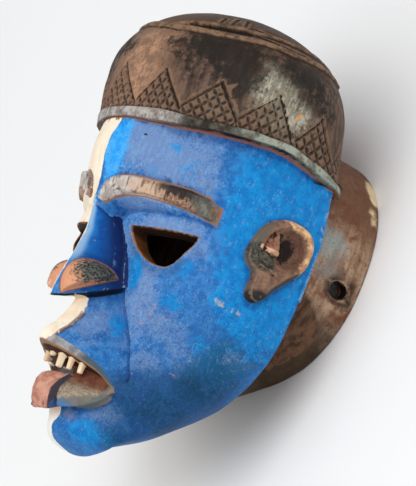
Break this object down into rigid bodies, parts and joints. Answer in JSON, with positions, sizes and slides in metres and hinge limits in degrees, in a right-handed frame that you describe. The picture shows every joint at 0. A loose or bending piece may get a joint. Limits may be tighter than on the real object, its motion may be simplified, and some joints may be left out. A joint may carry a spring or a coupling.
{
  "type": "carved wooden mask",
  "caption": "Carved wooden face mask, hollow behind, with a domed cap of hair, arched brows, pierced eyes, open mouth with tongue out, and a painted face in halves.",
  "frame": {"origin": "centre of the mask's outline, on the plane of its flat back rim, as it lies face up", "axes": "+Z out of the face, up as the mask lies; +Y towards the crown of the cap; +X towards the mask's own left ear"},
  "size_m": [0.196, 0.318, 0.1772],
  "materials": {
    "painted_wood": "hand-carved wood, matte worn paint, dark bare wood on cap and collar"
  },
  "bodies": {
    "root": {"mask": "painted_wood"}
  },
  "joints": []
}
